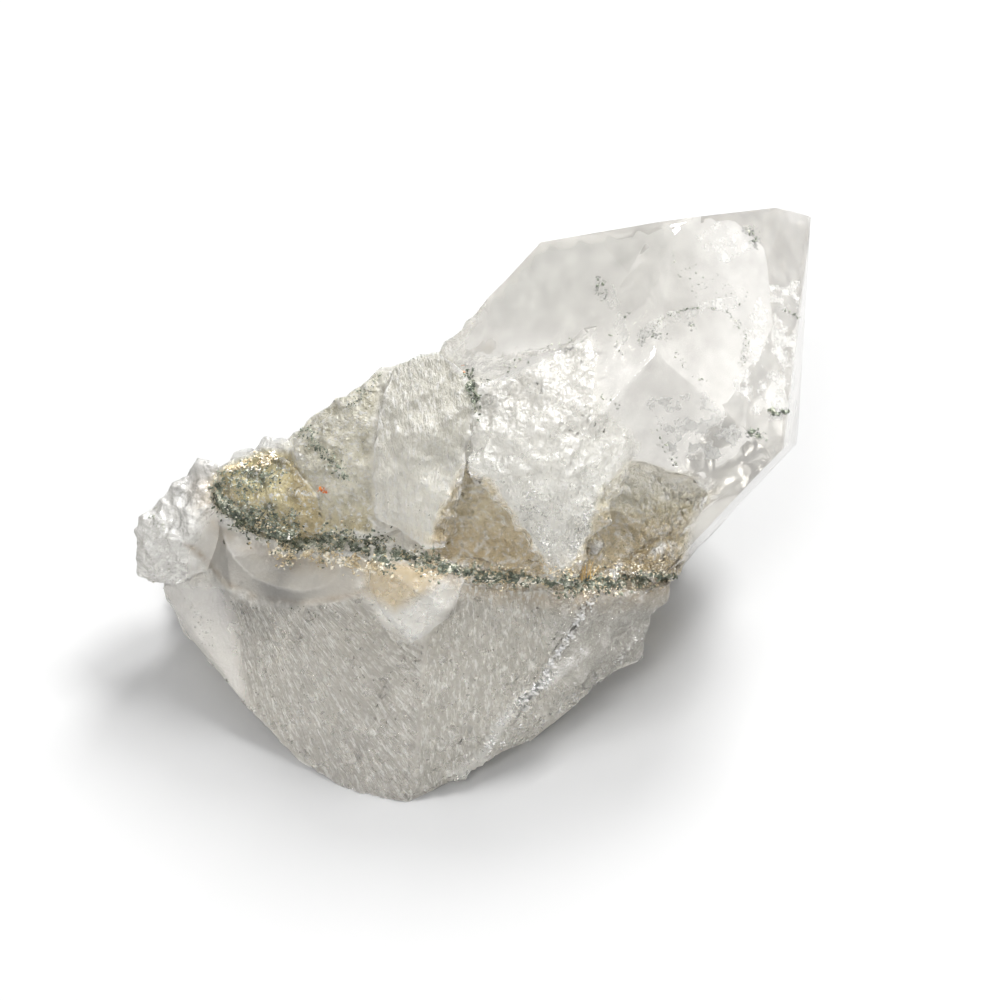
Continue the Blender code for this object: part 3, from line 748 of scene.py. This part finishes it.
VEILS = (
    (((21.5, 29.0), (24.0, 30.6), (27.2, 30.2), (28.5, 28.2), (25.0, 26.0), (22.3, 26.6)),
     0.5, 0.3),
    (((14.8, 17.6), (16.0, 19.4), (18.6, 20.8), (22.0, 21.8), (26.0, 22.5), (26.6, 21.2),
      (22.0, 20.4), (18.6, 19.2), (16.4, 17.6), (15.2, 15.4)), 0.6, 0.4),
    (((27.0, 20.5), (26.0, 15.0), (25.0, 12.5), (28.4, 8.4), (31.6, 9.0), (32.4, 14.0),
      (32.6, 24.0), (29.5, 24.0)), 1.0, 0.6),
    (((11.3, 23.6), (12.6, 23.6), (14.4, 18.0), (13.4, 16.8)), 0.5, 0.3),
    (((16.0, 11.0), (22.0, 12.0), (27.0, 7.4), (24.0, 4.4), (18.6, 5.0)), 1.0, 0.6),
    (((29.0, 10.6), (32.6, 10.8), (32.4, 8.8), (29.0, 8.6)), 0.4, 0.2),
)
for i, (outline, depth, relief) in enumerate(VEILS):
    corner = np.array(outline)
    low, high = corner.min(axis=0), corner.max(axis=0)
    bpy.ops.object.select_all(action="DESELECT")
    bpy.ops.mesh.primitive_grid_add(x_subdivisions=36, y_subdivisions=36, size=1.0)
    sheet = bpy.context.object
    sheet.name = f"inner_veil_{i}"
    flat = mesh_places(sheet.data)[:, :2]
    spread = low + (flat + 0.5) * (high - low)
    ragged = inside(spread, outline) + 0.35 * lumps(
        np.concatenate((spread, np.full((len(spread), 1), 3.0 * i)), axis=1), 1.4, 21 + i)
    bpy.ops.object.mode_set(mode="EDIT")
    bm = bmesh.from_edit_mesh(sheet.data)
    bm.verts.ensure_lookup_table()
    for v in bm.verts:
        across, up = spread[v.index]
        place, normal = front_hit(across, up)
        keep = ragged[v.index] > 0.45 and place is not None
        if keep:
            wave = noise.fractal(Vector((across * 0.35, up * 0.35, i * 2.7)), 1.0, 2.0, 3)
            v.co = place + (place - EYE).normalized() * max(0.25, depth + wave * relief) * MM
        v.select_set(not keep)
    bm.select_flush(True)
    bmesh.ops.delete(bm, geom=[v for v in bm.verts if v.select], context="VERTS")
    bmesh.update_edit_mesh(sheet.data)
    bpy.ops.object.mode_set(mode="OBJECT")
    wall = sheet.modifiers.new("thickness", "SOLIDIFY")
    wall.thickness = 0.05 * MM
    bpy.ops.object.modifier_apply(modifier="thickness")
    bpy.ops.object.shade_smooth()
    sheet.data.materials.append(veil_white)
    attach(sheet, "root")

# The surface it lies on and the light of the room: a white table, pale walls that are brighter
# higher up, two lamps high at the back right, so that the shadows fall to the left, and one lamp
# in front.
bpy.ops.object.select_all(action="DESELECT")
bpy.ops.mesh.primitive_circle_add(vertices=96, radius=4.0, fill_type="NGON")
table = bpy.context.object
table.name = "table"
paper, nodes, links = new_material("white paper")
nodes["Principled BSDF"].inputs["Base Color"].default_value = (0.295, 0.295, 0.295, 1.0)
nodes["Principled BSDF"].inputs["Roughness"].default_value = 0.9
nodes["Principled BSDF"].inputs["Specular IOR Level"].default_value = 0.0
table.data.materials.append(paper)

world = bpy.data.worlds.new("pale room")
bpy.context.scene.world = world
world.use_nodes = True
nodes, links = world.node_tree.nodes, world.node_tree.links
room = nodes["Background"]
direction = nodes.new("ShaderNodeSeparateXYZ")
links.new(nodes.new("ShaderNodeTexCoord").outputs["Generated"], direction.inputs["Vector"])
sight = nodes.new("ShaderNodeLightPath")
backdrop = nodes.new("ShaderNodeMix")
backdrop.inputs["B"].default_value = 1.0
links.new(sight.outputs["Is Camera Ray"], backdrop.inputs["Factor"])
links.new(mapped(direction.outputs["Z"], (0.0, 0.9), (0.52, 1.3)), backdrop.inputs["A"])
links.new(backdrop.outputs["Result"], room.inputs["Strength"])
room.inputs["Color"].default_value = (1.0, 1.0, 1.0, 1.0)


def lamp(name, place, size, power):
    data = bpy.data.lights.new(name, "AREA")
    data.size = size
    data.energy = power
    made = bpy.data.objects.new(name, data)
    made.location = place
    made.rotation_euler = (-Vector(place)).to_track_quat("-Z", "Y").to_euler()
    bpy.context.scene.collection.objects.link(made)


lamp("back lamp", (0.36, 0.78, 0.92), 0.35, 20.5)
lamp("side lamp", (0.50, 0.35, 1.1), 0.35, 22.0)
lamp("front lamp", (-0.3, -0.75, 1.1), 0.4, 9.0)

camera = bpy.data.objects.new("camera", bpy.data.cameras.new("camera"))
camera.data.lens = 150.0
camera.data.sensor_width = 36.0
camera.data.clip_start = 0.01
camera.location = EYE
camera.rotation_euler = (math.radians(45), 0.0, 0.0)
bpy.context.scene.collection.objects.link(camera)
bpy.context.scene.camera = camera
bpy.context.scene.view_settings.view_transform = "Standard"
bpy.context.scene.cycles.max_bounces = 7
bpy.context.scene.cycles.diffuse_bounces = 2
bpy.context.scene.cycles.glossy_bounces = 3
bpy.context.scene.cycles.transmission_bounces = 7
bpy.context.scene.cycles.transparent_max_bounces = 6
